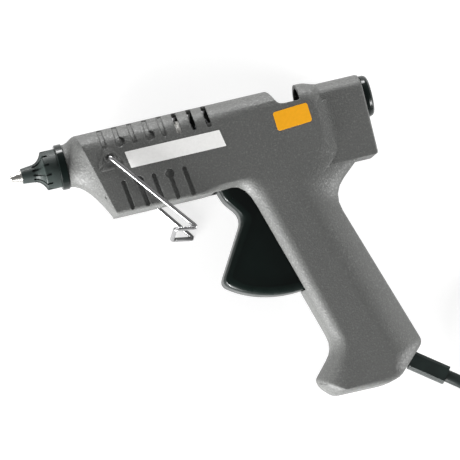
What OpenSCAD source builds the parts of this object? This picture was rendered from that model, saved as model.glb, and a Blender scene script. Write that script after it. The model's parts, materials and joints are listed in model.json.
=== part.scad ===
// Hot-glue gun for 12 mm sticks, lying on its right side.
// X runs along the barrel from the nozzle to the tail, Y is the gun's own up, Z points out of its left side.

/* [Barrel] */
// Length of the bare metal nozzle in front of its sleeve
nozzle_out = 6.4; // [4:0.1:12]
// Length of the soft sleeve over the nozzle
sleeve_len = 20.6; // [18:0.1:26]
// Length of the collar nut that closes the nose
ring_len = 4.4; // [3.6:0.1:7]
// Radius of the collar nut
ring_r = 12.8; // [12.4:0.1:13.4]
// Length of the housing from the nose to the tail
barrel_len = 170.3; // [165:0.1:180]
// Height of the barrel's crown above the stick axis
barrel_top = 15.2; // [14.6:0.1:17]
// Depth of the barrel below the stick axis
barrel_drop = 33.8; // [32:0.1:38]
// Half the width of the housing
body_half = 18; // [17.5:0.1:21]
// How far down the sides the rounded crown reaches
crown_drop = 10.8; // [9:0.1:12]
// Half the width of the narrower tail
tail_half = 15.6; // [15:0.1:17]
// Height of the tail's crown above the stick axis
tail_top = 12.9; // [12.4:0.1:14]
// Thickness of the housing wall
wall = 2.2; // [1.6:0.1:2.8]

/* [Grip] */
// Lean of the grip from the vertical
grip_lean = 16.8; // [12:0.2:20]
// Depth of the grip from front to back
grip_depth = 43.8; // [42:0.2:48]
// Length of the grip's back edge
grip_len = 108; // [100:0.5:125]
// Distance from the nose to the front of the grip
grip_x = 97.9; // [96:0.2:102]

/* [Trigger and feed] */
// Diameter of the glue stick
stick_d = 12; // [10:0.1:12.2]
// Radius of the trigger's lower edge about its pin
trigger_r = 61.6; // [57:0.1:64]
// Half the width of the trigger
trigger_half = 11; // [10.6:0.1:12]
// Diameter of the trigger's pin
trigger_pin_d = 4; // [3:0.1:5]
// Angle that the trigger swings through
trigger_swing = 22; // [16:0.5:22]
// Gap between parts that slide or turn past each other
gap = 0.3; // [0.2:0.05:0.4]

/* [Stand] */
// Diameter of the stand's wire
stand_d = 2.4; // [1.8:0.1:3]
// Length of the stand's legs
stand_leg = 62; // [54:0.5:66]
// Angle of the legs below the barrel
stand_angle = 52; // [48:0.5:58]
// Length of the stand's foot
stand_foot = 12.4; // [8:0.2:15]

/* [Vents] */
// Distance between neighbouring vents
vent_pitch = 8.5; // [8:0.05:8.7]
// Width of a vent
vent_w = 2.5; // [2:0.1:3]

/* [Cord] */
// Diameter of the mains cord
cord_d = 7; // [6:0.1:7.4]
// Width of the sleeve that guards the cord against bending
guard_w = 10.2; // [9.4:0.1:11.5]
// Visible length of that sleeve
guard_len = 21.5; // [18:0.5:30]
// Mean radius of the cord's coil
coil_r = 41; // [38:0.5:42]

/* [Hidden] */
$fn = 48;

// Places along the barrel, all counted from the nozzle's tip.
ring_x = nozzle_out + sleeve_len;
nose_x = ring_x + ring_len;
tail_x = nose_x + barrel_len;
stick_r = stick_d / 2;
bore_r = stick_r + 0.6;
snug_r = stick_r + 0.2;
free_r = stick_r + 1;

// The gun lies on the stand's lower leg, so the stand sets the height of the parting plane.
plate_h = 0.6;
leg_z = body_half + plate_h + gap + stand_d / 2;
rest_z = leg_z + stand_d / 2;
collar_len = 4.9;
gun_len = tail_x + collar_len;

// Places on the grip: s runs from its front to its back, t down its length.
grip_o = [nose_x + grip_x, -50];
function grip(s, t) = grip_o
    + [s * cos(grip_lean) + t * sin(grip_lean), s * sin(grip_lean) - t * cos(grip_lean)];
heel = grip(grip_depth - 0.9, grip_len);
toe = grip(0, grip_len);
foot_drop = 5.6 - toe[1];

// The cord's guard leaves the foot at a slant and sets the far corner of the whole.
exit_at = [heel[0] - 7.9, 9.9 - foot_drop];
cord_lean = 37;
far_x = exit_at[0] + guard_len * cos(cord_lean) + guard_w / 2 * sin(cord_lean);
far_y = exit_at[1] - guard_len * sin(cord_lean) - guard_w / 2 * cos(cord_lean);
module place() {
    translate([-far_x / 2, -(barrel_top + far_y) / 2, rest_z]) children();
}
// Turns what is drawn along Z so that it runs along the barrel from x.
module along(x) {
    translate([x, 0, 0]) rotate([0, 90, 0]) children();
}
module right_side() {
    mirror([0, 0, 1]) children();
}
module both_sides() {
    children();
    mirror([0, 0, 1]) children();
}
corner_steps = 4;
edge_steps = 5;
function toward(a, b, d) = a + (b - a) * min(0.49, d / norm(b - a));
// Rounds each corner of an outline: a row is [point, corner length].
function rounded(rows) = [
    for (i = [0:len(rows) - 1])
        let (n = len(rows), v = rows[i][0], t = rows[i][1],
             p = toward(v, rows[(i + n - 1) % n][0], t), q = toward(v, rows[(i + 1) % n][0], t))
            for (k = [0:corner_steps])
                let (u = k / corner_steps) (1 - u) * (1 - u) * p + 2 * u * (1 - u) * v + u * u * q
];
// Fills the strip between two chains of corners, always across the shorter diagonal.
function strip(p, a, b, i, j) =
    i == len(a) - 1 && j == len(b) - 1 ? [] :
    j == len(b) - 1 || (i < len(a) - 1 && norm(p[a[i + 1]] - p[b[j]]) < norm(p[a[i]] - p[b[j + 1]]))
        ? concat([[a[i], a[i + 1], b[j]]], strip(p, a, b, i + 1, j))
        : concat([[a[i], b[j + 1], b[j]]], strip(p, a, b, i, j + 1));

// Rounds the corners of a chain of points in space.
function bent(points, d, steps = 3) = [
    points[0],
    for (i = [1:len(points) - 2])
        let (v = points[i], p = toward(v, points[i - 1], d), q = toward(v, points[i + 1], d))
            for (k = [0:steps]) let (u = k / steps)
                (1 - u) * (1 - u) * p + 2 * u * (1 - u) * v + u * u * q,
    points[len(points) - 1]
];
// Joins rings of corners round a chain of points into one tube; up is a direction the chain never takes.
module swept(points, r, sides, up = [0, 0, 1]) {
    n = len(points);
    rings = [
        for (i = [0:n - 1])
            let (d = points[min(i + 1, n - 1)] - points[max(i - 1, 0)], t = d / norm(d),
                 u = cross(up, t) / norm(cross(up, t)), w = cross(t, u))
                for (k = [0:sides - 1])
                    points[i] + r * (cos(360 * k / sides) * u + sin(360 * k / sides) * w)
    ];
    skin = [
        for (i = [0:n - 2], k = [0:sides - 1])
            let (a = i * sides + k, b = i * sides + (k + 1) % sides)
                each [[a, b + sides, b], [a, a + sides, b + sides]]
    ];
    polyhedron(rings, concat(
        [[for (k = [0:sides - 1]) k]], skin, [[for (k = [sides - 1:-1:0]) (n - 1) * sides + k]]
    ));
}

// A moulded half: every station has an edge point, a point on the flat side, the depth of the rounding
// between them and its fullness, where 1 is a chamfer and 2 a quarter ellipse. The stations before
// turn run along the back, and the rest come home along the front. With both, it is the whole part.
module moulded(stations, half, turn, both = false, steps = edge_steps) {
    edge = rounded([for (s = stations) [s[0], s[1]]]);
    flat = rounded([for (s = stations) [s[2], s[3]]]);
    n = len(edge);
    per = corner_steps + 1;
    first = both ? -steps - 1 : -1;
    rows = [
        for (k = [first:steps], i = [0:n - 1])
            let (s = stations[floor(i / per)], phi = 90 * (k < 0 ? (both ? -k - 1 : 0) : k) / steps,
                 u = 1 - pow(cos(phi), 2 / s[5]), v = pow(sin(phi), 2 / s[5]),
                 p = edge[i] + (flat[i] - edge[i]) * u, z = half - s[4] * (1 - v))
                [p[0], p[1], k >= 0 ? z : both ? -z : 0]
    ];
    levels = steps + 1 - first;
    sides = [
        for (k = [0:levels - 2], i = [0:n - 1])
            let (j = (i + 1) % n)
                each [[k * n + i, k * n + j, (k + 1) * n + j],
                    [k * n + i, (k + 1) * n + j, (k + 1) * n + i]]
    ];
    back = [for (i = [0:turn * per - 1]) i];
    front = [for (i = [n - 1:-1:turn * per]) i];
    bottom = [for (f = strip(both ? flat : edge, back, front, 0, 0)) [f[2], f[1], f[0]]];
    top = [for (f = strip(flat, back, front, 0, 0)) f + (levels - 1) * n * [1, 1, 1]];
    polyhedron(rows, concat(bottom, sides, top));
}

top_flat = barrel_top - crown_drop;
tail_seam = tail_x - 29;
crease = 22.6;
soft = 1.6;
body_stations = [
    [[nose_x + 2, barrel_top], 0.4, [nose_x + 2.4, top_flat], 0.2, body_half - 0.2, 2],
    [[tail_seam - 2.2, barrel_top], 2, [tail_seam - 5, top_flat], 0.6, body_half - 0.2, 2],
    [[tail_seam + 3, tail_top + 0.4], 1.6, [tail_seam - 1.4, top_flat], 0.4, body_half - 0.2, 2],
    [[tail_seam + 10, tail_top - 0.8], 2, [tail_seam - 0.8, top_flat - 1.2], 0.4, body_half - 0.4, 1.8],
    [[tail_seam + 14.5, 3], 1, [tail_seam, -3], 3, 4.3, 1],
    [[tail_seam + 15.5, -20], 2, [tail_seam + 0.4, -14], 3, 4.3, 1],
    [[tail_seam + 17.6, 0.4 - barrel_drop], 0.6, [tail_seam - 1.4, -24], 4, 6.5, 1.15],
    [grip(grip_depth - 2.6, 11.6), 11, grip(22, -3), 5, 9.5, 1.35],
    [heel, 3.5, grip(crease, grip_len - 3), 2, 9, 1.3],
    [[heel[0] - 12.2, 6.4 - foot_drop], 2, [heel[0] - 19, 8.2 - foot_drop], 1, 4, 1.3],
    [[heel[0] - 19.4, -foot_drop], 9, [heel[0] - 21.6, 3 - foot_drop], 6, soft, 2],
    [[toe[0] - 13.2, -foot_drop], 3, [toe[0] - 7.3, 1.6 - foot_drop], 0.4, 12, 1.6],
    [[toe[0] - 19.5, 5.8 - foot_drop], 3, [toe[0] - 7.9, 2 - foot_drop], 0.3, 14, 1.8],
    [[toe[0] - 21.7, 11 - foot_drop], 2.2, [toe[0] - 8.5, 2.6 - foot_drop], 0.4, body_half - 0.4, 2],
    [[toe[0] - 7.2, 26.2 - foot_drop], 8, [toe[0] + 0.5, 26.2 - foot_drop], 6, 12, 1.8],
    [[nose_x + 93, -barrel_drop], 14, [nose_x + 102.4, 4.2 - barrel_drop], 9, 11, 2],
    [[nose_x + 78, -barrel_drop], 1, [nose_x + 80, 3.4 - barrel_drop], 1, 6, 2],
    [[nose_x + 70, -barrel_drop], 1, [nose_x + 70, soft - barrel_drop], 1, soft, 2],
    [[nose_x + 12, -barrel_drop], 0.4, [nose_x + 12.4, soft - barrel_drop], 0.2, soft, 2]
];

// The bell-shaped nose swells from a circle behind the ring to the barrel's section on a leaning plane.
bell_x = 12;
bell_slope = 0.262;
bell_r = ring_r - 0.8;
bell_rim = concat(
    [[0, -barrel_drop], [body_half - 7, -barrel_drop], [body_half - soft, -barrel_drop],
        [body_half, soft - barrel_drop]],
    [for (k = [1:7]) [body_half, soft - barrel_drop + (top_flat - soft + barrel_drop) * k / 8]],
    [for (k = [0:8]) let (a = 90 * k / 8) [body_half * cos(a), top_flat + crown_drop * sin(a)]]
);
module bell() {
    steps = 8;
    n = len(bell_rim);
    rings = [
        for (k = [0:steps + 1], p = bell_rim)
            let (u = min(k / steps, 1), a = atan2(p[1], p[0]), lift = max(0, sin(a)), c = pow(u, 1.3),
                 w = (1 - lift) * pow(u, 1.75) + lift * c * c * (3 - 2 * c),
                 q = bell_r * [cos(a), sin(a)] * (1 - w) + 0.996 * p * w * (k > steps ? 0.93 : 1))
                [nose_x + u * (bell_x - bell_slope * p[1]) + (k > steps ? 3 : 0), q[1], q[0]]
    ];
    skin = [
        for (k = [0:steps], i = [0:n - 2])
            let (a = k * n + i) each [[a, a + n, a + n + 1], [a, a + n + 1, a + 1]]
    ];
    low = [for (k = [0:steps + 1]) k * n];
    high = [for (k = low) k + n - 1];
    polyhedron(rings, concat(
        [[for (i = [0:n - 1]) i]], skin, [[for (i = [n - 1:-1:0]) (steps + 1) * n + i]],
            strip(rings, low, high, 0, 0)
    ));
}
module front_cut() {
    linear_extrude(2 * body_half, center = true) polygon([
        for (y = [60, -60]) [nose_x + bell_x - 0.2 - bell_slope * y, y], [nose_x - 60, -60],
            [nose_x - 60, 60]
    ]);
}

// Section of the barrel between two places along it: an arched crown on straight sides.
module barrel_section(x0, x1, half, top, drop, low) {
    along(x0) linear_extrude(x1 - x0) polygon(concat(
        [[half, -low]],
        [for (k = [0:16]) let (a = 180 * k / 16) [half * cos(a), top - drop + drop * sin(a)]],
        [[-half, -low]]
    ));
}

tail_curve = 8.4;
module tail_block(x0, x1, inset) {
    barrel_section(x0, x1, tail_half - inset, tail_top - inset, tail_curve, barrel_drop - 0.1 - inset);
}
// The tail's end is rounded all the way round.
module tail_end() {
    hull() {
        for (k = [0:2]) tail_block(tail_seam + 1, tail_x - 1.6 * (1 - cos(45 * k)),
            1.6 * (1 - sin(45 * k)));
    }
}

notch_x = tail_seam - 22;
notch_end = tail_seam - 7;
notch_floor = 5.4;
module notch() {
    translate([0, 0, -body_half - 1]) linear_extrude(2 * body_half + 2) polygon(rounded([
        [[notch_x - 6.1, barrel_top + 3.4], 0.1],
        [[notch_x - 1.6, barrel_top], 3],
        [[notch_x + 2.6, notch_floor], 3.2],
        [[notch_end, notch_floor], 1],
        [[notch_end - 0.2, barrel_top + 3.4], 0.1]
    ]));
}

// Vents lean back a little toward the nozzle.
vent_lean = 7.2;
vent_skew = 5.7;
vent_sink = 1;
vent_r = vent_w / 2;
module slot(length, r) {
    translate([-r, 0]) square([2 * r, length]);
    circle(r = r);
    translate([0, length]) circle(r = r);
}
module upper_vent(i) {
    deep = i > 4;
    keyhole = i == 1 || i == 3;
    translate([nose_x + 22.2 + i * vent_pitch, 2.8 - 0.16 * i + vent_r, body_half])
        rotate([0, -vent_skew, 0]) rotate([0, 0, vent_lean])
            translate([0, 0, 3.2 - body_half]) {
                linear_extrude(body_half) slot(16, vent_r);
                if (keyhole) translate([0.6, 1, 0]) cylinder(h = body_half, r = 2.7);
            }
}
module upper_vents() {
    for (i = [5:7]) upper_vent(i);
    difference() {
        for (i = [0:4]) upper_vent(i);
        barrel_section(nose_x, tail_x, body_half - vent_sink, barrel_top - vent_sink, crown_drop,
            barrel_drop);
    }
}
module lower_vents() {
    for (i = [0:4])
        translate([nose_x + 29.7 + i * (vent_pitch + 0.15), -barrel_drop + 0.8 + vent_r,
            body_half - vent_sink])
            rotate([0, 0, vent_lean]) {
                linear_extrude(2) slot(14.4, vent_r);
                if (i % 2 == 1) translate([0, 13.6, 0]) cylinder(h = 2, r = 2.6);
            }
}

// Everything inside the housing keeps clear of this room.
chin_x = nose_x + 20.8;
module room() {
    along(nose_x + 3) cylinder(h = 16, r = 10.2);
    intersection() {
        barrel_section(nose_x + 16.5, tail_seam + 1, body_half - wall, barrel_top - wall,
            crown_drop - wall / 2, barrel_drop - wall);
        linear_extrude(body_half) polygon([
            [nose_x + 16.5, 20], [tail_seam + 1, 20], [tail_seam + 1, -40], [chin_x + 1, -40],
            [chin_x + 1, wall - barrel_drop], [nose_x + 16.5, -23]
        ]);
    }
    tail_block(tail_seam, tail_x - wall, wall);
    grip_room();
}
module grip_room() {
    intersection() {
        linear_extrude(body_half - wall) polygon([
            [nose_x + 84, 8 - barrel_drop], [tail_seam + 2, 8 - barrel_drop],
                [tail_seam + 6, -barrel_drop + 1],
            grip(grip_depth - 6.8, 14), grip(grip_depth - 5.6, 24),
                grip(grip_depth - 4.2, grip_len - 5), [heel[0] - 19.4, 5.8 - foot_drop],
            [heel[0] - 22.4, 2.8 - foot_drop], [toe[0] - 7.6, 2.8 - foot_drop],
            [toe[0] - 11.6, 10 - foot_drop], [toe[0] - 1.1, 25 - foot_drop], grip(3, grip_len - 36),
                grip(3, 8)
        ]);
        translate([grip_o[0], grip_o[1], 0]) rotate([0, 0, grip_lean]) rotate([90, 0, 0])
            translate([0, 0, -40]) linear_extrude(170) polygon([
                [-30, 0], [-30, 6], [3, 6], [7, body_half - wall - 2.2], [13, body_half - wall],
                    [crease - 1, body_half - wall],
                [grip_depth - 6, 9], [grip_depth + 20, 9], [grip_depth + 20, 0]
            ]);
    }
}

// The trigger turns about a pin in the top of the grip.
pivot = [nose_x + 106.1, -36.2];
trigger_play = 0.6;
throat_r = 27.4;
module trigger_slot() {
    intersection() {
        translate([pivot[0], pivot[1], 0])
            cylinder(h = trigger_half + gap + 0.1, r = trigger_r + trigger_play);
        linear_extrude(body_half) polygon([
            [pivot[0] - throat_r - 2.4, 1 - barrel_drop + wall], [pivot[0] + 8, 1 - barrel_drop + wall],
            grip(16, 0), grip(16, 60), grip(-20, 60), [pivot[0] - throat_r - 2.4, -70]
        ]);
    }
}

// Screws go in from the right side and thread into blind bosses on the left.
screw_r = 1.5;
boss_r = 3.3;
screw_spots = [
    [nose_x + 22, -28.6], [nose_x + 66, -28], [tail_x - 6.2, -28], [nose_x + 131, -46.5],
    [toe[0] - 6.6, 8.8 - foot_drop], grip(grip_depth - 9.6, grip_len - 29)
];
module at_screws() {
    for (p = screw_spots) translate([p[0], p[1], 0]) children();
}
head_r = 2.8;
head_z = 8;
thread_z = 8;

rail_x = [nose_x + 80, nose_x + 119];
slide_r = 2;
module rails() {
    for (y = [slide_r + 0.1, -slide_r - 0.1 - 2])
        translate([rail_x[0], y, trigger_half + 1.1])
            cube([rail_x[1] - rail_x[0], 2, body_half - wall - trigger_half]);
}
chamber_r = 9;
spring_seat_x = nose_x + 66.9;
// Ribs that cradle what runs along the stick's axis.
module cradle(x, r, drop, reach = body_half - wall + 0.4) {
    difference() {
        translate([x, -drop, 0]) cube([2, drop + 4, reach]);
        along(x - 1) cylinder(h = 4, r = r + gap);
    }
}
module pivot_boss() {
    translate([pivot[0], pivot[1], trigger_half + 0.4])
        cylinder(h = body_half - wall - trigger_half, r = 4.4);
}
guard_t = 9;
module at_exit() {
    translate([exit_at[0], exit_at[1], 0]) rotate([0, 0, -cord_lean]) children();
}
// Rectangular recess that traps the guard's inner collar.
module guard_seat(play) {
    at_exit() translate([-6, -guard_w / 2 - play, -guard_t / 2 - play])
        cube([12, guard_w + 2 * play, guard_t + 2 * play]);
}
module guard_block() {
    intersection() {
        at_exit() translate([-7.6, -9, 0]) cube([9, 18, 12]);
        grip_room();
    }
}
stand_at = [nose_x + 23.7, -2.15];
// Outline of the stand's side plate, drawn inset by d.
function plate_line(d) = rounded([
    [[-0.2, 7.4 - 2 * d], 5], [[9.8 - 1.7 * d, d - 6.6], 5], [[1.7 * d - 8.8, d - 6.6], 5]
]);
module stand_plate() {
    translate([stand_at[0], stand_at[1], body_half - 0.5]) difference() {
        linear_extrude(0.5 + plate_h) polygon(plate_line(0));
        translate([0, 0, 0.75]) linear_extrude(plate_h) difference() {
            polygon(plate_line(0.9));
            circle(r = 3.2);
        }
        translate([0, 0, 0.6]) cylinder(h = plate_h, r = 2.3);
        for (a = [-140, -66]) rotate([0, 0, a]) translate([0, 0, 0.5 + plate_h + 0.7]) rotate([0, 90, 0])
            cylinder(h = 12, r = stand_d / 2);
    }
}
neck_r = 10.2;
module half_shell() {
    difference() {
        union() {
            difference() {
                union() {
                    difference() {
                        moulded(body_stations, body_half, 11);
                        front_cut();
                    }
                    bell();
                    intersection() {
                        tail_end();
                        translate([0, -60, 0]) cube([300, 100, 40]);
                    }
                    stand_plate();
                }
                intersection() {
                    room();
                    translate([0, -200, -1]) cube([300, 250, 40]);
                }
                upper_vents();
                lower_vents();
                trigger_slot();
            }
            intersection() {
                union() {
                    along(ring_x + 1.2) cylinder(h = ring_len + 1, r = neck_r);
                    cradle(nose_x + 6, 8.6, 9.4, 10.8);
                    cradle(nose_x + 42.2, chamber_r, 13);
                    cradle(spring_seat_x - 8.2, chamber_r, 13);
                }
                translate([0, -60, 0]) cube([300, 100, body_half - 1]);
            }
            rails();
            pivot_boss();
            guard_block();
            translate([0, 0, body_half - 6]) translate([stand_at[0], stand_at[1], 0])
                cylinder(h = 5, r = 3.6);
        }
        along(ring_x) cylinder(h = ring_len + 3, r = 8.1);
        notch();
        translate([pivot[0], pivot[1], -1])
            cylinder(h = body_half - wall + 0.8, r = trigger_pin_d / 2 + 0.02);
        translate([stand_at[0], stand_at[1], 0]) cylinder(h = 40, r = stand_d / 2 + 0.08);
        guard_seat(0.1);
        at_exit() translate([-12, 0, 0]) rotate([0, 90, 0]) cylinder(h = 9, r = cord_r + 0.25);
        along(tail_x - 5) cylinder(h = 9, r = bore_r + 2.2);
    }
}

shell_grey = [0.42, 0.43, 0.42];
module housing_left() {
    color(shell_grey) place() difference() {
        union() {
            half_shell();
            intersection() {
                at_screws() cylinder(h = body_half - 1, r = boss_r);
                union() {
                    room();
                    grip_room();
                }
            }
        }
        at_screws() translate([0, 0, -1]) cylinder(h = thread_z + 1.4, r = screw_r - 0.25);
    }
}
module housing_right() {
    color(shell_grey) place() right_side() difference() {
        union() {
            half_shell();
            intersection() {
                at_screws() cylinder(h = body_half - 1, r = boss_r + 0.6);
                union() {
                    room();
                    grip_room();
                }
            }
        }
        at_screws() {
            translate([0, 0, -1]) cylinder(h = 40, r = screw_r + 0.1);
            translate([0, 0, head_z]) cylinder(h = 40, r = head_r + 0.15);
        }
    }
}
module housing_screws() {
    color("silver") place() at_screws() {
        difference() {
            union() {
                translate([0, 0, -head_z]) cylinder(h = head_z + thread_z, r = screw_r - 0.25);
                translate([0, 0, -head_z - 2.2]) cylinder(h = 2.2, r = head_r);
            }
            translate([0, 0, -head_z - 3]) for (a = [0, 90]) rotate([0, 0, a])
                translate([-1.6, -0.35, 0]) cube([3.2, 0.7, 2]);
        }
    }
}

// Melting end.
nut_x = nose_x - 12.8;
nut_len = 4.4;
shank_r = 4;
module nozzle_tip() {
    color([0.78, 0.78, 0.76]) place() difference() {
        union() {
            along(0) rotate_extrude() polygon([
                [0, 0], [1.5, 0], [1.7, 0.3], [3, nozzle_out - 0.9], [3.3, nozzle_out], [3.4, nut_x],
                    [shank_r, nut_x],
                [shank_r, nut_x + 10], [0, nut_x + 10]
            ]);
            along(nut_x) rotate([0, 0, 30]) cylinder(h = nut_len, r = 6.9, $fn = 6);
        }
        along(-1) cylinder(h = 30, r = 0.9);
        along(4) cylinder(h = 40, r = 2);
    }
}
flare_x = nozzle_out + 6.2;
sleeve_r = ring_r - 1.9;
// Outline of the soft sleeve: a neck that flares out to a straight skirt, drawn dip below the surface.
function sleeve_line(dip) = [
    [4.2 - dip, nozzle_out],
    [4.9 - dip, flare_x],
    for (k = [1:6]) let (a = 62 * k / 6)
        [4.9 - dip + (sleeve_r - 5.1) * (1 - cos(a)) / (1 - cos(62)), flare_x + 6.4 * sin(a) / sin(62)],
    [sleeve_r - dip, flare_x + 6.8]
];
module nozzle_sleeve() {
    color([0.07, 0.075, 0.07]) place() difference() {
        along(0) rotate_extrude() polygon(concat(
            [[3.5, nozzle_out]], sleeve_line(0),
            [[sleeve_r, ring_x - 0.1], [8.3, ring_x - 0.1], [8.3, nut_x + nut_len],
                [7.3, nut_x + nut_len],
             [7.3, nut_x - gap - 0.2], [3.5, nut_x - gap - 0.2]]
        ));
        difference() {
            for (i = [0:11]) rotate([30 * i + 17, 0, 0]) translate([flare_x + 0.6, 0, 3])
                rotate([0, 0, -90])
                linear_extrude(12) slot(8.4, 0.7);
            along(0) rotate_extrude() polygon(concat([[0, nozzle_out]], sleeve_line(0.8),
                [[sleeve_r - 0.8, ring_x], [0, ring_x]]));
        }
    }
}
module nozzle_ring() {
    color([0.03, 0.03, 0.03]) place() along(0) rotate_extrude() polygon([
        [9.1, ring_x], [ring_r - 0.5, ring_x], [ring_r, ring_x + 0.5], [ring_r, nose_x - 0.5],
            [ring_r - 0.4, nose_x - 0.1],
        [neck_r + 0.1, nose_x - 0.1], [neck_r + 0.1, ring_x + 1], [9.1, ring_x + 1]
    ]);
}
chamber_x = nut_x + nut_len + 0.1;
spigot_x = nose_x + 45;
spigot_r = 7.5;
pocket = [nose_x + 19.5, nose_x + 39.5];
pocket_y = [-19.6, -11.4];
module melt_chamber() {
    color([0.74, 0.75, 0.77]) place() difference() {
        union() {
            along(chamber_x) cylinder(h = nose_x + 6 - chamber_x, r = 7.8);
            along(nose_x + 5) cylinder(h = spigot_x - nose_x - 5, r = 8.6);
            along(nose_x + 9) cylinder(h = spigot_x - nose_x - 9, r = chamber_r);
            along(spigot_x - 1) cylinder(h = 9, r = spigot_r);
            translate([pocket[0] - 2, pocket_y[0] - 2, -7.5])
                cube([pocket[1] - pocket[0] + 4, -pocket_y[0] + 2, 15]);
            for (x = [pocket[0] + 1:5:pocket[1]]) translate([x, 3, -5]) cube([1.6, 7.6, 10]);
        }
        along(chamber_x - 1) cylinder(h = 9, r = shank_r);
        along(chamber_x) cylinder(h = 20, r = 2.2);
        along(nose_x + 9) cylinder(h = 60, r = stick_r + 0.1);
        translate([pocket[0], pocket_y[0], -9])
            cube([pocket[1] - pocket[0], pocket_y[1] - pocket_y[0], 18]);
    }
}
module heater_pack() {
    color([0.85, 0.8, 0.66]) place() {
        translate([pocket[0] + 0.3, pocket_y[0] + 1.6, -6.5])
            cube([pocket[1] - pocket[0] - 0.6, 4.6, 13]);
        for (y = [pocket_y[0] + 1.1, pocket_y[0] + 6.3])
            translate([pocket[0] + 0.3, y, -6.9]) cube([pocket[1] - pocket[0] - 0.6, 0.4, 13.8]);
    }
}
module heater_clip() {
    color([0.6, 0.62, 0.64]) place() translate([pocket[0] + 0.4, 0, 0]) {
        translate([0, pocket_y[0] + 0.1, -6.9]) cube([pocket[1] - pocket[0] - 0.8, 0.5, 13.8]);
        for (x = [2:6:14]) translate([x, pocket_y[0] + 0.55, -5]) cube([3, 0.4, 10]);
    }
}
fuse_at = [nose_x + 33, pocket_y[0] - 2];
module thermal_fuse() {
    color([0.86, 0.86, 0.84]) place() translate([0, fuse_at[1] - 2.1, 0]) along(fuse_at[0] - 6) {
        cylinder(h = 12, r = 2);
        translate([0, 0, -4]) cylinder(h = 20, r = 0.5);
    }
}
module inlet_sleeve() {
    color([0.82, 0.82, 0.8]) place() along(0) rotate_extrude() polygon([
        [spigot_r + 0.03, spigot_x + 0.1], [chamber_r, spigot_x + 0.1], [chamber_r, spring_seat_x - 2],
            [chamber_r + 1.4, spring_seat_x - 2],
        [chamber_r + 1.4, spring_seat_x], [snug_r, spring_seat_x], [snug_r, spigot_x + 8.2],
            [spigot_r + 0.03, spigot_x + 8.2]
    ]);
}
module inlet_clamp() {
    color([0.7, 0.71, 0.72]) place() difference() {
        union() {
            along(spigot_x + 1.4) cylinder(h = 5, r = chamber_r + 0.8);
            translate([spigot_x + 1.4, -chamber_r - 4, -4]) cube([5, 4.4, 8]);
        }
        along(spigot_x) cylinder(h = 9, r = chamber_r + 0.03);
        translate([spigot_x + 3.9, -chamber_r - 1.9, -6]) cylinder(h = 12, r = 1.1);
    }
}

// Feed: the trigger's fork pushes the carriage, and the jaw bites the stick.
arm_lean = trigger_swing / 2;
fork_r = -pivot[1] / cos(arm_lean);
push_x = pivot[0] - pivot[1] * tan(arm_lean);
lead_x = push_x - 13;
car_x = push_x - 16.4;
car_len = 19;
car_half = trigger_half - 2.7;
jaw_at = [push_x - 6.5, -12.4];
module feed_carriage() {
    color([0.16, 0.16, 0.17]) place() difference() {
        union() {
            translate([car_x, -9, -car_half]) cube([car_len, 16.8, 2 * car_half]);
            translate([car_x + 3, -16.5, -5.5]) cube([13.5, 9, 11]);
            for (x = [lead_x, push_x]) translate([x, 0, -body_half + wall + 1])
                cylinder(h = 2 * (body_half - wall - 1), r = slide_r);
        }
        along(car_x - 1) cylinder(h = car_len + 2, r = free_r);
        translate([car_x + 4.5, -18, -3]) cube([10.5, 13, 6]);
        translate([jaw_at[0], jaw_at[1], -7]) cylinder(h = 14, r = 1.52);
    }
}
module jaw_pin() {
    color("silver") place() translate([jaw_at[0], jaw_at[1], -5.4]) cylinder(h = 10.8, r = 1.5);
}
module grip_jaw() {
    color([0.55, 0.56, 0.58]) place() difference() {
        translate([jaw_at[0], jaw_at[1], -2.7]) linear_extrude(5.4) polygon([
            [-2.6, -2.4], [0.3, -2.9], [0.6, -7.5], [2.6, -7.5], [2.8, -1.6], [3.2, 3.4], [2.6, 5.5],
                [1.6, 4.6], [0.8, 5.5], [-0.2, 4.6],
            [-1, 5.5], [-2.8, 3.4], [-3, 0]
        ]);
        translate([jaw_at[0], jaw_at[1], -7]) cylinder(h = 14, r = 1.56);
    }
}
spring_turns = 6;
spring_wire = 0.5;
spring_r = 7.7;
spring_len = car_x - gap - spring_seat_x - gap;
module return_spring() {
    sides = 6;
    per_turn = 14;
    last = spring_turns * per_turn;
    rise = spring_len - 2 * spring_wire;
    rings = [
        for (i = [0:last], k = [0:sides - 1])
            let (a = 360 * i / per_turn, b = 360 * k / sides, r = spring_r + spring_wire * cos(b))
                [spring_seat_x + gap + spring_wire + rise * i / last + spring_wire * sin(b), r * cos(a),
                    r * sin(a)]
    ];
    skin = [
        for (i = [0:last - 1], k = [0:sides - 1])
            let (a = i * sides + k, b = i * sides + (k + 1) % sides)
                each [[a, a + sides, b + sides], [a, b + sides, b]]
    ];
    color([0.72, 0.73, 0.75]) place() polyhedron(rings, concat(
        [[for (k = [0:sides - 1]) k]], skin, [[for (k = [sides - 1:-1:0]) last * sides + k]]
    ));
}

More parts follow.
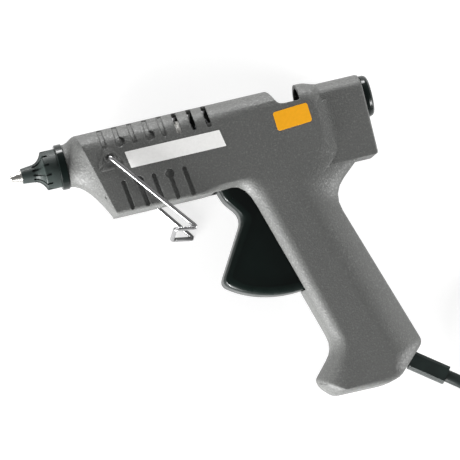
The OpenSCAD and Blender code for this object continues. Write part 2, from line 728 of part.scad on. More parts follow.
// The trigger runs from its throat inside the barrel down the finger hollow to a lower edge about its pin.
function about_pivot(r, a) = pivot + r * [cos(a), sin(a)];
heel_a = 282;
toe_a = 238;
arc_step = (heel_a - toe_a) / 4;
arc_r = trigger_r / cos(arc_step / 2);
edge_in = 3.2;
trigger_stations = concat(
    [
        [about_pivot(throat_r, 150), 0.3, about_pivot(throat_r - 1.6, 148), 0.3, 1.6, 2],
        [about_pivot(9, 40), 3, about_pivot(8, 40), 3, 1, 2],
        [about_pivot(9, 330), 3, about_pivot(8, 330), 3, 1, 2],
        [about_pivot(20, 296), 1, about_pivot(19.6, 293), 1, 1, 2],
        [about_pivot(trigger_r, heel_a), 0.4, about_pivot(trigger_r - edge_in, heel_a - 1), 0.4, 1, 2]
    ],
    [
        for (k = [0:3]) let (a = heel_a - arc_step * (k + 0.5))
            [about_pivot(arc_r, a), 6, about_pivot(arc_r - edge_in, a), 6, edge_in, 2]
    ],
    [
        [[pivot[0] - 37.7, pivot[1] - 48.4], 4.4, [pivot[0] - 34.2, pivot[1] - 46.9], 3, 4, 2],
        [[pivot[0] - 17.2, pivot[1] - 14.2], 6, [pivot[0] - 13.8, pivot[1] - 15.2], 5, 4, 2],
        [[pivot[0] - 25.3, pivot[1] - 3.4], 3, [pivot[0] - 22.8, pivot[1] - 2.4], 2, 3, 2],
        [about_pivot(throat_r, 174), 0.3, about_pivot(throat_r - 2.6, 174), 0.3, 2.6, 2],
        [about_pivot(throat_r + 0.6, 162), 3, about_pivot(throat_r - 2, 162), 3, 2.2, 2]
    ]
);
rim = 4.6;
inner_outline = concat(
    [for (p = rounded([
        [[pivot[0] - 20.4, pivot[1] - 2], 1.5], [[pivot[0] - 11.6, pivot[1] - 15.6], 4],
            [[pivot[0] - 31.6, pivot[1] - 46], 3],
        [about_pivot(trigger_r - rim, toe_a + 5.5), 0.4]
    ])) p],
    [for (k = [0:6]) about_pivot(trigger_r - rim, toe_a + 6.5 + (heel_a - toe_a) * k / 6)],
    [about_pivot(28, 300), about_pivot(8, 300), about_pivot(8, 180), about_pivot(throat_r - 4.4, 168)]
);
cheek = 2.3;
module trigger() {
    color([0.05, 0.055, 0.05]) place() difference() {
        union() {
            difference() {
                moulded(trigger_stations, trigger_half, 5, true, 3);
                both_sides() translate([0, 0, trigger_half - 0.9]) linear_extrude(2)
                    polygon(inner_outline);
                translate([0, 0, -trigger_half + cheek]) linear_extrude(2 * (trigger_half - cheek))
                    union() {
                    polygon(inner_outline);
                    polygon([for (a = [140:10:300]) about_pivot(22, a)]);
                    translate([pivot[0], pivot[1]]) circle(r = 12);
                }
            }
            both_sides() translate([pivot[0], pivot[1], trigger_half - cheek]) linear_extrude(cheek) {
                circle(r = 6.4);
                rotate([0, 0, -arm_lean]) polygon([[-6, 0], [6, 0], [4.6, fork_r + 4.6],
                    [-4.6, fork_r + 4.6]]);
            }
            translate([pivot[0], pivot[1], -trigger_half]) cylinder(h = 2 * trigger_half, r = 4.4);
        }
        translate([pivot[0], pivot[1], -20]) cylinder(h = 40, r = trigger_pin_d / 2 + 0.05);
        translate([pivot[0], pivot[1], -20]) rotate([0, 0, -arm_lean]) translate([0, fork_r - 0.6, 0]) {
            translate([-slide_r - 0.1, 0, 0]) cube([2 * slide_r + 0.2, 12, 40]);
            cylinder(h = 40, r = slide_r + 0.1);
        }
    }
}
module trigger_pin() {
    color("silver") place() translate([pivot[0], pivot[1], wall + 0.4 - body_half])
        cylinder(h = 2 * (body_half - wall - 0.4), r = trigger_pin_d / 2);
}

// Collar and guide at the tail.
module rear_guide() {
    tube_r = bore_r + 2;
    trough_x = rail_x[1] + 0.6;
    color([0.04, 0.045, 0.04]) place() {
        along(0) rotate_extrude() polygon([
            [bore_r, notch_end + 2.4], [tube_r + 1.2, notch_end + 2.4], [tube_r + 1.2, notch_end + 3.6],
                [tube_r, notch_end + 4.6],
            [tube_r, tail_x - wall - 2.6], [tube_r + 1.7, tail_x - wall - 2.6],
                [tube_r + 1.7, tail_x - wall - 0.1], [tube_r, tail_x - wall - 0.1],
            [tube_r, tail_x + 0.1], [11.2, tail_x + 0.1], [11.7, tail_x + 0.6], [11.7, tail_x + 2.4],
                [11.2, tail_x + 3.7],
            [10.2, tail_x + 4.5], [9, gun_len], [8.4, gun_len], [bore_r, gun_len - 1.6]
        ]);
        difference() {
            along(trough_x) cylinder(h = notch_end + 2.9 - trough_x, r = tube_r);
            along(trough_x - 1) cylinder(h = 40, r = free_r);
            translate([trough_x - 1, 0, -20]) cube([40, 20, 40]);
        }
    }
}

// Wire stand, hinged in both sides of the barrel.
module stand() {
    r = stand_d / 2;
    kink = stand_at + stand_leg * [cos(stand_angle), -sin(stand_angle)];
    toe = kink + stand_foot * [-cos(8), sin(8)];
    color([0.85, 0.85, 0.85]) place() swept(bent([
        [stand_at[0], stand_at[1], body_half - 5.6], [stand_at[0], stand_at[1], leg_z],
        [kink[0], kink[1], leg_z], [toe[0], toe[1], leg_z],
        [toe[0], toe[1], -leg_z], [kink[0], kink[1], -leg_z],
        [stand_at[0], stand_at[1], -leg_z], [stand_at[0], stand_at[1], 5.6 - body_half]
    ], 2.4), r, 12, [-0.93, 0.37, 0]);
}

// Cord entry.
cord_r = cord_d / 2;
module cord_guard() {
    color([0.03, 0.035, 0.03]) place() at_exit() difference() {
        union() {
            translate([-5.9, -guard_w / 2, -guard_t / 2]) cube([3, guard_w, guard_t]);
            translate([-3.4, -4, -4]) cube([3.8, 8, 8]);
            translate([0.1, 0, 0]) rotate([0, 90, 0]) linear_extrude(guard_len) polygon([
                for (q = [[1, 1], [-1, 1], [-1, -1], [1, -1]],
                    c = q[0] * q[1] > 0 ? [[1, 0.72], [0.72, 1]] : [[0.72, 1], [1, 0.72]])
                    [q[0] * c[0] * guard_t / 2, q[1] * c[1] * guard_w / 2]
            ]);
        }
        translate([-20, 0, 0]) rotate([0, 90, 0]) cylinder(h = 80, r = cord_r + 0.05);
    }
}
clamp_at = [-15.5, 0];
module cord_clamp() {
    color([0.85, 0.85, 0.82]) place() at_exit() translate([clamp_at[0], 0, 0]) difference() {
        translate([-3, -9, cord_r * 0.3]) cube([6, 18, cord_r + 1.4]);
        translate([-5, 0, 0]) rotate([0, 90, 0]) cylinder(h = 10, r = cord_r + 0.05);
        for (y = [-6.3, 6.3]) translate([0, y, -5]) cylinder(h = 30, r = 1.3);
    }
}
module clamp_screws() {
    color("silver") place() at_exit() for (y = [-6.3, 6.3]) translate([clamp_at[0], y, 0]) {
        translate([0, 0, -6]) cylinder(h = 6 + cord_r * 1.3 + 1.4, r = 1.2);
        translate([0, 0, cord_r * 1.3 + 1.45]) cylinder(h = 1.6, r = 2.4);
    }
}
block_t = 66;
block_at = grip(17.6, block_t);
block_z = body_half - wall - 1.4;
pole = 3.6;
module terminal_block() {
    color([0.9, 0.89, 0.85]) place() translate([block_at[0], block_at[1], -block_z])
        rotate([0, 0, grip_lean]) difference() {
        translate([-7, -8, 0]) cube([14, 16, 10]);
        for (x = [-pole, pole]) {
            for (y = [-4, 4]) translate([x, y, 4.6]) cylinder(h = 20, r = 1.9);
            translate([x, -10, 4.6]) rotate([-90, 0, 0]) cylinder(h = 20, r = 1.2);
        }
    }
}
module leads() {
    z = wall + 2.2 - body_half;
    for (side = [0, 1]) {
        s = 17.6 - pole + 2 * pole * side;
        y = -18.5 - 3 * side;
        top = grip(s, block_t - 8.4);
        low = grip(s, block_t + 8.4);
        core = side ? 1.3 : -1.3;
        hub = exit_at - 27.4 * [cos(cord_lean), -sin(cord_lean)];
        color(side ? [0.35, 0.2, 0.12] : [0.15, 0.3, 0.6]) place() {
            swept(bent([
                [top[0], top[1], 4.6 - block_z],
                    [grip(s, block_t - 12.6)[0], grip(s, block_t - 12.6)[1], z],
                [grip(13 + 4 * side, 10)[0], grip(13 + 4 * side, 10)[1], z],
                [nose_x + 114 + 4 * side, y, z], [nose_x + 62, y, z], [pocket[1] + 6, y + 2, z + 5],
                    [pocket[1] + 2.9, -15 - side * 3, -4]
            ], 6), 0.9, 8);
            swept(bent([
                [low[0], low[1], 4.6 - block_z], [grip(s, block_t + 17)[0], grip(s, block_t + 17)[1], -9],
                [hub[0] - 4, hub[1] + 5 + core, -3], [hub[0], hub[1] + core, 0]
            ], 4), 0.9, 8);
        }
    }
}

// Mains cord: it drops to the table, lies in a tied coil and ends in a flat two-pin plug.
cord_z = cord_r - rest_z;
coil_lift = 0.8;
coil_z = cord_z + coil_lift;
coil_out = coil_r + cord_d;
run = 76;
coil_at = [run, coil_out];
cord_route = [
    [-26, 0, 0], [-2, 0, 0], [guard_len, 0, 0], [24, 0, 0], [30, 0, -0.6], [36, 0, -2.3], [42, 0, -5.2],
        [47, 0, -8.5],
    [52, 0, 8.5 + coil_z], [58, 0, 2.3 + coil_z], [64, 0, 0.6 + coil_z], [70, 0, coil_z], [run, 0, coil_z]
];
// The tail leaves the top of the coil: d is how far it has gone, o how far outside the outer turn it lies.
plug_z = 6.9 - rest_z;
function beside(d, o, z) = [
    coil_at[0] + (coil_out + o) * cos(cord_lean) - d * sin(cord_lean),
    coil_at[1] + (coil_out + o) * sin(cord_lean) + d * cos(cord_lean), z
];
tail_route = [
    beside(0, 0, coil_z + cord_d), beside(12, 0.3, coil_z + cord_d), beside(24, 0, coil_z + 5.8),
        beside(36, -2, coil_z + 3),
    beside(48, -5, coil_z + 0.4), beside(58, -8, cord_z + 0.2), beside(70, -10.6, cord_z + 0.6),
        beside(80, -11.8, cord_z + 2), beside(90, -12, plug_z)
];
module cord() {
    color([0.02, 0.02, 0.02]) place() at_exit() swept(cord_route, cord_r, 12);
}
module cord_tail() {
    color([0.02, 0.02, 0.02]) place() at_exit() swept(tail_route, cord_r, 12);
}
module cord_coil() {
    w = 3 * cord_d;
    h = 2 * cord_d;
    color([0.02, 0.02, 0.02]) place() at_exit() translate([coil_at[0], coil_at[1], coil_lift - rest_z])
        rotate_extrude($fn = 72)
        translate([coil_r - w / 2, 0]) {
            translate([cord_r, 0]) square([w - cord_d, h]);
            translate([0, cord_r]) square([w, h - cord_d]);
            for (x = [cord_r, w - cord_r], y = [cord_r, h - cord_r]) translate([x, y])
                circle(r = cord_r, $fn = 24);
        }
}
tie_t = 0.7;
module cord_tie() {
    w = 3 * cord_d;
    h = 2 * cord_d;
    color([0.08, 0.08, 0.08]) place() at_exit() translate([coil_at[0], coil_at[1], coil_lift - rest_z])
        rotate([0, 0, -20])
        translate([coil_r, 0, 0]) rotate([90, 0, 0]) linear_extrude(8, center = true) difference() {
            translate([-w / 2 - tie_t - 0.7, -tie_t]) square([w + 2 * tie_t + 0.9, h + 2 * tie_t]);
            translate([-w / 2 - 0.7, 0]) square([w + 0.9, h]);
        }
}
plug_at = beside(90, -12, plug_z);
plug_len = 37;
pin_gap = 18.6;
pin_r = 2;
pin_len = 19;
root_r = 1.6;
pin_root = 12.9;
module at_plug() {
    at_exit() translate(plug_at) rotate([0, 0, cord_lean - 90]) children();
}
module plug_slice(x, w, t) {
    translate([-x, -w / 2, -t / 2]) cube([0.8, w, t]);
}
module plug_body() {
    color([0.02, 0.02, 0.02]) place() difference() {
        union() {
            at_plug() hull() {
                plug_slice(0.8, 9.6, 9.6);
                plug_slice(9, 10.6, 10.2);
            }
            at_plug() hull() {
                plug_slice(9, 10.6, 10.2);
                plug_slice(20, 27, 13.4);
                plug_slice(plug_len - 1, 31, 13.6);
            }
            at_plug() hull() {
                plug_slice(plug_len - 1, 31, 13.6);
                plug_slice(plug_len, 29.8, 12.4);
            }
        }
        at_plug() for (y = [-0.5, 0.5]) translate([-plug_len - 1, y * pin_gap, 0]) rotate([0, 90, 0])
            cylinder(h = 14, r = root_r);
    }
}
module plug_pins() {
    color([0.8, 0.8, 0.78]) place() at_plug() for (y = [-0.5, 0.5])
        translate([-plug_len, y * pin_gap, 0]) rotate([0, -90, 0])
        translate([0, 0, -pin_root]) rotate_extrude() polygon([
            [0, 0], [root_r, 0], [root_r, pin_root], [pin_r, pin_root], [pin_r, pin_root + pin_len - 1],
            [pin_r - 0.9, pin_root + pin_len], [0, pin_root + pin_len]
        ]);
}

housing_left();
housing_right();
housing_screws();
nozzle_tip();
nozzle_sleeve();
nozzle_ring();
melt_chamber();
heater_pack();
heater_clip();
thermal_fuse();
inlet_sleeve();
inlet_clamp();
feed_carriage();
grip_jaw();
jaw_pin();
return_spring();
trigger();
trigger_pin();
rear_guide();
stand();
cord_guard();
cord_clamp();
clamp_screws();
terminal_block();
leads();
cord();
cord_coil();
cord_tail();
cord_tie();
plug_body();
plug_pins();
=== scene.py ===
import json
from math import asin, copysign, cos, hypot, radians, sin
import bmesh
import bpy
from mathutils import Matrix, Vector

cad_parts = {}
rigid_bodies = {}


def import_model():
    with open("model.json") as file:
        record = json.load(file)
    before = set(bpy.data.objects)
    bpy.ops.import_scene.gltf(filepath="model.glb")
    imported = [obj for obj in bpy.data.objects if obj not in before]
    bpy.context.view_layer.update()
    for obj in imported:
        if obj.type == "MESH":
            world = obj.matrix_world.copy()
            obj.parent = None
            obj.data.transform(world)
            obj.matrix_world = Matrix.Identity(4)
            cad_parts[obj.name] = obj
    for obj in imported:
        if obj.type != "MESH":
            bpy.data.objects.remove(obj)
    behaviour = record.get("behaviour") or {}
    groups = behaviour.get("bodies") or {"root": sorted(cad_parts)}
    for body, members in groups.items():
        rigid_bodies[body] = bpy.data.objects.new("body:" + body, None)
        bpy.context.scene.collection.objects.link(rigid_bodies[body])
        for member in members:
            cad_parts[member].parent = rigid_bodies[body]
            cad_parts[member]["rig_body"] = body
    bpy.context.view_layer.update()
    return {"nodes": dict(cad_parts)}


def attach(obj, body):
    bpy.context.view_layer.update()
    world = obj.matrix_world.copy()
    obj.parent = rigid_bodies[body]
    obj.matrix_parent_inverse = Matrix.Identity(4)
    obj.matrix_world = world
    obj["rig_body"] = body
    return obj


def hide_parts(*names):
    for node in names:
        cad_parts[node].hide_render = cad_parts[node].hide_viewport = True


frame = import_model()
print("frame loaded")

# gun's own millimetres: X from the nozzle's tip, Y up from the stick's axis, Z out of the left side
perMetre = 1000
gun = {
    "top": 15.2, "half": 18.0, "restZ": 21.3,
    "guardLen": 21.5, "guardW": 10.2, "cordLean": 37.0, "exit": (193.6845, -149.0905),
}
lean = radians(gun["cordLean"])
farX = gun["exit"][0] + gun["guardLen"] * cos(lean) + gun["guardW"] / 2 * sin(lean)
farY = gun["exit"][1] - gun["guardLen"] * sin(lean) - gun["guardW"] / 2 * cos(lean)
offset = Vector((-farX / 2, -(gun["top"] + farY) / 2, gun["restZ"]))


def at(x, y, z=0.0):  # a place on the gun, in the shared frame's metres
    return (Vector((x, y, z)) + offset) / perMetre


# view from above and a little to the front, nearly without perspective
camera = {
    "target": (112.4, -55.5), "far": 4000.0, "width": 255.9,
    "sideways": -0.095, "below": -0.055, "roll": 13.56, "sensor": 36, "clip": (0.1, 20),
}
cam = bpy.data.objects.new("camera", bpy.data.cameras.new("camera"))
bpy.context.scene.collection.objects.link(cam)
away = Vector((camera["sideways"], camera["below"], 1.0)).normalized()
roll = radians(camera["roll"])
right = Vector((sin(roll), cos(roll), 0)).cross(away).normalized()
turn = Matrix((right, away.cross(right), away)).transposed().to_4x4()
cam.matrix_world = Matrix.Translation(at(*camera["target"]) + away * camera["far"] / perMetre) @ turn
cam.data.sensor_width = camera["sensor"]
cam.data.lens = camera["sensor"] * camera["far"] / camera["width"]
cam.data.clip_start, cam.data.clip_end = camera["clip"]
bpy.context.scene.camera = cam
print("camera set")


class Value:  # a socket that adds a Math node when it is used in a sum or a product
    def __init__(self, finish, socket):
        self.finish, self.socket = finish, socket

    def maths(self, operation, other):
        return self.finish.node("ShaderNodeMath", {"operation": operation}, {0: self, 1: other})

    def __add__(self, other):
        return self.maths("ADD", other)

    def __mul__(self, other):
        return self.maths("MULTIPLY", other)


class Finish:  # one material being built
    def __init__(self, name, **fixed):
        self.data = bpy.data.materials.new(name)
        self.data.use_nodes = True
        self.tree = self.data.node_tree
        self.shader = self.tree.nodes["Principled BSDF"]
        self.set(**fixed)

    def link(self, socket, value):
        if isinstance(value, Value):
            self.tree.links.new(value.socket, socket)
        elif socket.type == "RGBA":
            socket.default_value = (*value, 1)
        else:
            socket.default_value = value

    def node(self, kind, settings=None, inputs=None, out=0):
        made = self.tree.nodes.new(kind)
        for key, value in (settings or {}).items():
            setattr(made, key, value)
        for key, value in (inputs or {}).items():
            self.link(made.inputs[key], value)
        return Value(self, made.outputs[out])

    def set(self, **inputs):
        for key, value in inputs.items():
            self.link(self.shader.inputs[key.replace("_", " ")], value)

    def place(self, scale=(1, 1, 1)):  # coordinates in metres, fixed to the object
        spot = self.node("ShaderNodeTexCoord", out=3)
        return self.node("ShaderNodeMapping", {}, {"Vector": spot, "Scale": scale})

    def noise(self, size, detail=3.0, rough=0.5, where=None):  # size in millimetres
        return self.node("ShaderNodeTexNoise", {}, {
            "Vector": where or self.place(), "Scale": perMetre / size, "Detail": detail, "Roughness": rough,
        })

    def mix(self, factor, a, b):  # sockets 0, 6 and 7 are a colour mix's factor and its two colours
        return self.node("ShaderNodeMix", {"data_type": "RGBA"}, {0: factor, 6: a, 7: b}, 2)

    def stretch(self, value, low, high, toLow=0.0, toHigh=1.0):
        return self.node("ShaderNodeMapRange", {}, {
            "Value": value, "From Min": low, "From Max": high, "To Min": toLow, "To Max": toHigh,
        })

    def bump(self, height, depth, strength=1.0):  # depth in millimetres
        return self.node("ShaderNodeBump", {}, {
            "Height": height, "Distance": depth / perMetre, "Strength": strength,
        })

    def ray(self, kind):  # 1 for a ray of this kind
        return Value(self, self.node("ShaderNodeLightPath").socket.node.outputs[f"Is {kind} Ray"])


def shade(colour, share):
    return tuple(c * share for c in colour)


def finishShell():
    look = {
        "grey": (0.106, 0.108, 0.104), "dark": (0.088, 0.09, 0.087), "speck": (0.145, 0.148, 0.142),
        "grain": 0.8, "fleck": 1.12, "cloud": 30.0, "depth": 0.3, "rough": (0.6, 0.46),
        "bevel": 0.0011, "samples": 6,
    }
    f = Finish("sparkErodedGrey", Specular_IOR_Level=0.5)
    grain = f.noise(look["grain"], 2.0, 0.6)
    flecks = f.noise(look["fleck"], 1.0, 0.4)
    cloud = f.noise(look["cloud"], 3.0, 0.5)
    tone = f.mix(f.stretch(grain * 0.8 + cloud * 0.2, 0.4, 0.58), look["dark"], look["grey"])
    edge = f.node("ShaderNodeBevel", {"samples": look["samples"]}, {"Radius": look["bevel"]})
    surface = f.bump(grain * 0.6 + flecks * 0.4, look["depth"])
    f.link(surface.socket.node.inputs["Normal"], edge)
    f.set(
        Base_Color=f.mix(f.stretch(flecks, 0.55, 0.75), tone, look["speck"]),
        Roughness=f.stretch(flecks, 0.35, 0.65, *look["rough"]),
        Normal=surface,
    )
    return f.data


def finishGloss(name, colour, rough):
    look = {"smear": 9.0, "dust": 0.5, "dusty": (0.012, 0.017, 0.016), "cover": 0.3, "depth": 0.03}
    f = Finish(name, Specular_IOR_Level=0.34)
    smear = f.noise(look["smear"], 3.0, 0.55)
    dust = f.stretch(f.noise(look["dust"], 2.0), 0.66, 0.74)
    f.set(
        Base_Color=f.mix(dust * look["cover"], colour, look["dusty"]),
        Roughness=f.stretch(smear, 0.3, 0.7, rough, rough + 0.1),
        Normal=f.bump(smear, look["depth"], 0.25),
    )
    return f.data


def finishSoft(name, colour, rough):
    look = {"fine": 0.7, "cloud": 7.0, "lighter": 1.5, "depth": 0.04}
    f = Finish(name, Specular_IOR_Level=0.36)
    fine = f.noise(look["fine"], 3.0, 0.6)
    cloud = f.noise(look["cloud"], 2.0)
    f.set(
        Base_Color=f.mix(f.stretch(cloud, 0.3, 0.7), colour, shade(colour, look["lighter"])),
        Roughness=f.stretch(fine, 0.3, 0.7, rough - 0.08, rough + 0.1),
        Normal=f.bump(fine, look["depth"], 0.5),
    )
    return f.data


def finishMetal(name, colour, rough, brushed=(1, 1, 1), depth=0.015):
    look = {"line": 0.5, "stain": 6.0, "darker": 0.8}
    f = Finish(name, Metallic=1.0)
    lines = f.noise(look["line"], 3.0, 0.6, f.place(brushed))
    stain = f.noise(look["stain"], 3.0, 0.6)
    f.set(
        Base_Color=f.mix(f.stretch(stain, 0.35, 0.7), colour, shade(colour, look["darker"])),
        Roughness=f.stretch(lines, 0.3, 0.7, rough - 0.06, rough + 0.1),
        Normal=f.bump(lines, depth, 0.4),
    )
    return f.data


def finishPlain(name, colour, rough=0.5):
    look = {"fine": 1.2, "cloud": 9.0, "darker": 0.88, "depth": 0.03}
    f = Finish(name)
    fine = f.noise(look["fine"], 3.0, 0.6)
    cloud = f.noise(look["cloud"], 2.0)
    f.set(
        Base_Color=f.mix(f.stretch(cloud, 0.3, 0.7), shade(colour, look["darker"]), colour),
        Roughness=f.stretch(fine, 0.3, 0.7, rough - 0.05, rough + 0.08),
        Normal=f.bump(fine, look["depth"], 0.4),
    )
    return f.data


def finishLabel(name, colour):
    look = {"fibre": 1.6, "darker": 0.95, "rough": 0.35, "depth": 0.01}
    f = Finish(name, Specular_IOR_Level=0.4)
    fibre = f.noise(look["fibre"], 3.0, 0.6)
    f.set(
        Base_Color=f.mix(f.stretch(fibre, 0.35, 0.65), shade(colour, look["darker"]), colour),
        Roughness=f.stretch(fibre, 0.3, 0.7, look["rough"], look["rough"] + 0.1),
        Normal=f.bump(fibre, look["depth"], 0.3),
    )
    return f.data


finishes = {
    "shell": finishShell(),
    "gloss": finishGloss("polishedBlack", (0.0012, 0.0048, 0.0038), 0.14),
    "trigger": finishGloss("mouldedBlack", (0.0012, 0.0052, 0.004), 0.26),
    "sleeve": finishSoft("heatproofRubber", (0.015, 0.022, 0.02), 0.5),
    "soft": finishSoft("softBlack", (0.006, 0.0105, 0.0095), 0.42),
    "cord": finishSoft("cordBlack", (0.0055, 0.009, 0.0082), 0.4),
    "wire": finishMetal("brightWire", (0.4, 0.4, 0.405), 0.36, (1, 1, 0.1)),
    "nozzle": finishMetal("nozzleNickel", (0.62, 0.61, 0.58), 0.24, (0.2, 1, 1)),
    "steel": finishMetal("platedSteel", (0.55, 0.56, 0.58), 0.28),
    "cast": finishMetal("castAluminium", (0.55, 0.56, 0.58), 0.45, depth=0.12),
    "ceramic": finishPlain("heaterCeramic", (0.72, 0.66, 0.52)),
    "silicone": finishPlain("inletSilicone", (0.62, 0.61, 0.58), 0.42),
    "carriage": finishPlain("carriagePlastic", (0.024, 0.024, 0.027), 0.45),
    "leads": finishPlain("leadSkin", (0.04, 0.1, 0.3), 0.35),
    "pins": finishMetal("pinNickel", (0.75, 0.74, 0.7), 0.2, (1, 0.1, 1)),
    "white": finishLabel("labelWhite", (0.96, 0.955, 0.94)),
    "orange": finishLabel("labelOrange", (0.94, 0.42, 0.009)),
}
finishNodes = {
    "steel": (
        "housing_screws", "heater_clip", "thermal_fuse", "inlet_clamp", "grip_jaw",
        "jaw_pin", "return_spring", "trigger_pin", "clamp_screws",
    ),
    "nozzle": ("nozzle_tip",),
    "sleeve": ("nozzle_sleeve",),
    "gloss": ("nozzle_ring", "rear_guide"),
    "cast": ("melt_chamber",),
    "ceramic": ("heater_pack", "cord_clamp", "terminal_block"),
    "silicone": ("inlet_sleeve",),
    "carriage": ("feed_carriage",),
    "trigger": ("trigger",),
    "soft": ("cord_guard", "cord_tie"),
    "leads": ("leads",),
    "cord": ("plug_body",),
    "pins": ("plug_pins",),
}


def paint(data, finish):
    data.materials.clear()
    data.materials.append(finishes[finish])


for finish, names in finishNodes.items():
    for name in names:
        paint(frame["nodes"][name].data, finish)
print("finishes made")


def addPiece(name, data, body, finish):
    obj = bpy.data.objects.new(name, data)
    bpy.context.scene.collection.objects.link(obj)
    paint(data, finish)
    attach(obj, body)
    return obj


# the cord leaves its guard, comes down to the table, winds five turns and a bit, and ends in the plug
cord = {
    "r": 3.5, "coilR": 41.0, "lift": 0.8, "run": 76.0, "step": 7.0, "cross": 50.0,
    "turns": 5, "knotAngle": 15, "endGap": 3,
    "down": ((24, 0.0), (30, 0.6), (36, 2.3), (42, 5.2), (47, 8.5)),
    "landing": ((52, 8.5), (58, 2.3), (64, 0.6), (70, 0.0)),
    "overCoil": ((0, 0, 7), (12, 0.3, 7), (24, 0, 5.8), (36, -2, 3), (48, -5, 0.4)),
    "onTable": ((58, -8, 0.2), (70, -10.6, 0.6), (80, -11.8, 2)), "plug": (89.6, -12, 6.9),
}
tableZ = -gun["restZ"]
cordZ = tableZ + cord["r"]
coilZ = cordZ + cord["lift"]
outer = cord["coilR"] + 2 * cord["r"]


def atExit(x, y, z):  # along the guard, across it and up
    exitX, exitY = gun["exit"]
    return at(exitX + x * cos(lean) + y * sin(lean), exitY - x * sin(lean) + y * cos(lean), z)


def beside(onward, outward, z):  # past the coil's last point
    x = cord["run"] + (outer + outward) * cos(lean) - onward * sin(lean)
    return x, outer + (outer + outward) * sin(lean) + onward * cos(lean), z


def coilPoint(angle):  # three turns inwards, three outwards on top
    rows = [(0, 0), (1, 0), (2, 0), (2, 1), (1, 1), (0, 1)]
    k = int(angle // 360)
    into = angle - 360 * k - (360 - cord["cross"])  # each turn shifts to its neighbour in its last stretch
    t = max(0.0, into / cord["cross"]) if k < cord["turns"] else 0.0
    t = t * t * (3 - 2 * t)
    (row, level), (nextRow, nextLevel) = rows[k], rows[min(k + 1, cord["turns"])]
    r = outer - cord["step"] * (row + (nextRow - row) * t)
    rise = cord["step"] * (level + (nextLevel - level) * t)
    a = radians(angle - 90)
    return cord["run"] + r * cos(a), outer + r * sin(a), coilZ + rise


route = [(gun["guardLen"], 0, 0)]
route += [(x, 0, -drop) for x, drop in cord["down"]]
route += [(x, 0, coilZ + rise) for x, rise in cord["landing"]]
wound = cord["turns"] * 360 + 90 + int(gun["cordLean"])
route += [coilPoint(angle) for angle in range(0, wound - cord["endGap"], cord["knotAngle"])]
route += [beside(onward, outward, coilZ + rise) for onward, outward, rise in cord["overCoil"]]
route += [beside(onward, outward, cordZ + rise) for onward, outward, rise in cord["onTable"]]
route += [beside(cord["plug"][0], cord["plug"][1], tableZ + cord["plug"][2])]
line = bpy.data.curves.new("mainsCord", "CURVE")
line.dimensions = "3D"
line.bevel_depth = cord["r"] / perMetre
line.bevel_resolution = 5
line.use_fill_caps = True
spline = line.splines.new("BEZIER")
spline.bezier_points.add(len(route) - 1)
for knot, place in zip(spline.bezier_points, route):
    knot.co = atExit(*place)
    knot.handle_left_type = knot.handle_right_type = "AUTO"
spline.resolution_u = 6
mainsCord = addPiece("mainsCord", line, "gun", "cord")
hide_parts("cord", "cord_coil", "cord_tail")
tuple(atExit(*route[0]))
print("cord laid")


flank = {
    "lean": 16.8, "origin": (129.3, -50.0), "from": 19.0, "to": 110.0, "depth": 9.4, "full": 1.33,
    "top": (163.0, -31.0), "topSlope": (-9.0, -21.0),
}


def flattenFlank(bm):  # the grip's flank behind its crease is one flat facet
    slant = radians(flank["lean"])
    for v in bm.verts:
        x, y, z = v.co * perMetre - offset
        dx, dy = x - flank["origin"][0], y - flank["origin"][1]
        across, down = dx * cos(slant) + dy * sin(slant), dx * sin(slant) - dy * cos(slant)
        under = (x - flank["top"][0]) * flank["topSlope"][0] + (y - flank["top"][1]) * flank["topSlope"][1]
        rise = (abs(z) - gun["half"]) / flank["depth"] + 1
        if across > flank["from"] and down < flank["to"] and under > 0 and 0 < rise < 1:
            angle = asin(rise ** (flank["full"] / 2))
            level = gun["half"] - flank["depth"] * cos(angle) ** (2 / flank["full"])
            v.co.z += copysign(level - abs(z), z) / perMetre


farLeg = {"pivot": (55.1, -2.15), "eye": 5.0, "leg": 57.0, "side": 20.1, "shift": (0.4, -3.6, 0.0)}


def bendFarLeg(bm):  # the stand's far leg hangs a little lower than the near one
    for v in bm.verts:
        x, y, z = v.co * perMetre - offset
        along = (hypot(x - farLeg["pivot"][0], y - farLeg["pivot"][1]) - farLeg["eye"]) / farLeg["leg"]
        far = (farLeg["side"] - z) / (2 * farLeg["side"])
        v.co += Vector(farLeg["shift"]) * min(1, max(0, along)) * min(1, max(0, far)) / perMetre


# smooth copies stand in for the moulded and swept solids
weld = {"same": 2e-6, "sliver": 1e-6, "faceWeight": 90}


def smoothCopy(name, node, finish, limit=32, shape=None):
    bm = bmesh.new()
    bm.from_mesh(frame["nodes"][node].data)
    bmesh.ops.remove_doubles(bm, verts=bm.verts, dist=weld["same"])
    bmesh.ops.dissolve_degenerate(bm, dist=weld["sliver"], edges=bm.edges)
    if shape:
        shape(bm)
    for edge in bm.edges:
        edge.smooth = len(edge.link_faces) == 2 and edge.calc_face_angle(0) < radians(limit)
    for face in bm.faces:
        face.smooth = True
    mesh = bpy.data.meshes.new(name)
    bm.to_mesh(mesh)
    bm.free()
    obj = addPiece(name, mesh, frame["nodes"][node]["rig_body"], finish)
    even = obj.modifiers.new("evenShading", "WEIGHTED_NORMAL")
    even.keep_sharp = True
    even.weight = weld["faceWeight"]
    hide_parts(node)


smoothCopy("shellLeft", "housing_left", "shell", shape=flattenFlank)
smoothCopy("shellRight", "housing_right", "shell", shape=flattenFlank)
smoothCopy("standWire", "stand", "wire", 60, bendFarLeg)
smoothCopy("triggerLever", "trigger", "trigger")
print("shells and wire made")


# two thin bare labels lie on the left side
label = {"lift": 0.12, "rim": 0.08, "chamfer": 0.05, "arc": (0, 22.5, 45, 67.5, 90)}


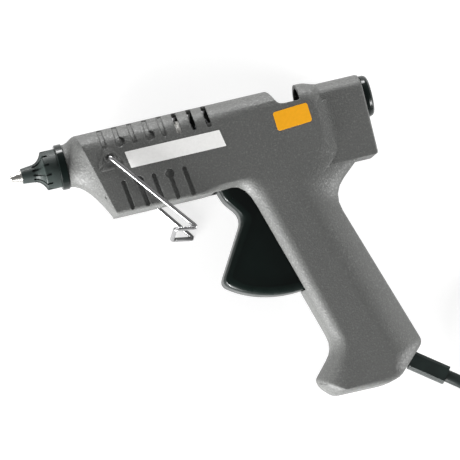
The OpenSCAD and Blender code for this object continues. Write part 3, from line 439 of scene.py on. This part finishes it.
def roundCorners(width, height, radius, centre, tilt=0.0, shear=0.0):
    outline = []
    for sx, sy, start in ((1, 1, 0), (-1, 1, 90), (-1, -1, 180), (1, -1, 270)):
        for step in label["arc"]:
            a = radians(start + step)
            x = sx * (width / 2 - radius) + radius * cos(a)
            y = sy * (height / 2 - radius) + radius * sin(a)
            x += shear * y
            turned = Vector((x * cos(tilt) - y * sin(tilt), x * sin(tilt) + y * cos(tilt)))
            outline.append(turned + Vector(centre))
    return outline


def plate(name, finish, corners):
    bm = bmesh.new()
    mid = sum(corners, Vector((0, 0))) / len(corners)
    rings = []
    for z, inset in ((0.0, 0.0), (label["rim"], 0.0), (label["lift"], label["chamfer"])):
        inner = [mid + (c - mid) * (1 - inset / (c - mid).length) for c in corners]
        rings.append([bm.verts.new(at(q.x, q.y, gun["half"] + z)) for q in inner])
    for low, high in zip(rings, rings[1:]):
        for i in range(len(corners)):
            bm.faces.new((low[i - 1], low[i], high[i], high[i - 1]))
    bm.faces.new(rings[-1])
    bm.faces.new(list(reversed(rings[0])))
    bmesh.ops.recalc_face_normals(bm, faces=bm.faces)
    mesh = bpy.data.meshes.new(name)
    bm.to_mesh(mesh)
    bm.free()
    addPiece(name, mesh, "gun", finish)


plate("nameLabel", "white", roundCorners(54.2, 9.5, radius=0.4, centre=(91.7, -5.75), shear=-0.19))
plate("markLabel", "orange", roundCorners(20.0, 10.8, radius=1.4, centre=(159.3, -3.2), tilt=radians(3.6)))
print("labels made")

# pale floor, shown brighter than it lights the gun
stage = {"floor": 0.5, "lift": 0.72, "size": 8, "zenith": 0.2, "ground": 0.5, "band": (0.15, 0.95)}


def grey(level):
    return (level, level, level)


bpy.ops.mesh.primitive_plane_add(size=stage["size"], location=(0, 0, 0))
floor = bpy.context.object
floor.name = "floor"
floorFinish = Finish("paleFloor", Roughness=0.9, Specular_IOR_Level=0.0, Emission_Strength=1.0)
seen = floorFinish.ray("Camera") + floorFinish.ray("Glossy") + floorFinish.ray("Transmission")
floorFinish.set(
    Base_Color=grey(stage["floor"]),
    Emission_Color=floorFinish.mix(seen, grey(0), grey(stage["lift"])),
)
floor.data.materials.append(floorFinish.data)


class Sky(Finish):  # dim overhead and brighter near the ground, white where the camera sees it
    def __init__(self):
        self.data = bpy.data.worlds.new("studio")
        self.data.use_nodes = True
        self.tree = self.data.node_tree
        self.shader = self.tree.nodes["Background"]
        self.set(Strength=1.0)


sky = Sky()
height = sky.node("ShaderNodeSeparateXYZ", {}, {0: sky.node("ShaderNodeTexCoord")}, 2)
glow = sky.mix(sky.stretch(height, *stage["band"]), grey(stage["ground"]), grey(stage["zenith"]))
sky.set(Color=sky.mix(sky.ray("Camera"), glow, grey(1)))
bpy.context.scene.world = sky.data

# low lamps all round, so that flanks and edges catch more light than the side that lies face up
lamps = {
    "keyFront": {"from": (-0.86, -0.72, 0.12), "size": (0.7, 0.22), "watts": 40.0},
    "overTop": {"from": (-0.05, 1.1, 0.14), "size": (0.8, 0.26), "watts": 15.0},
    "behind": {"from": (1.02, -0.48, 0.36), "size": (0.6, 0.4), "watts": 17.0},
}
for name, lamp in lamps.items():
    light = bpy.data.lights.new(name, "AREA")
    light.shape = "RECTANGLE"
    light.size, light.size_y = lamp["size"]
    light.energy = lamp["watts"]
    obj = bpy.data.objects.new(name, light)
    obj.location = lamp["from"]
    obj.rotation_euler = (-Vector(lamp["from"])).to_track_quat("-Z", "Y").to_euler()
    obj.visible_camera = False
    bpy.context.scene.collection.objects.link(obj)
bpy.context.scene.view_settings.view_transform = "Standard"
print("stage lit")
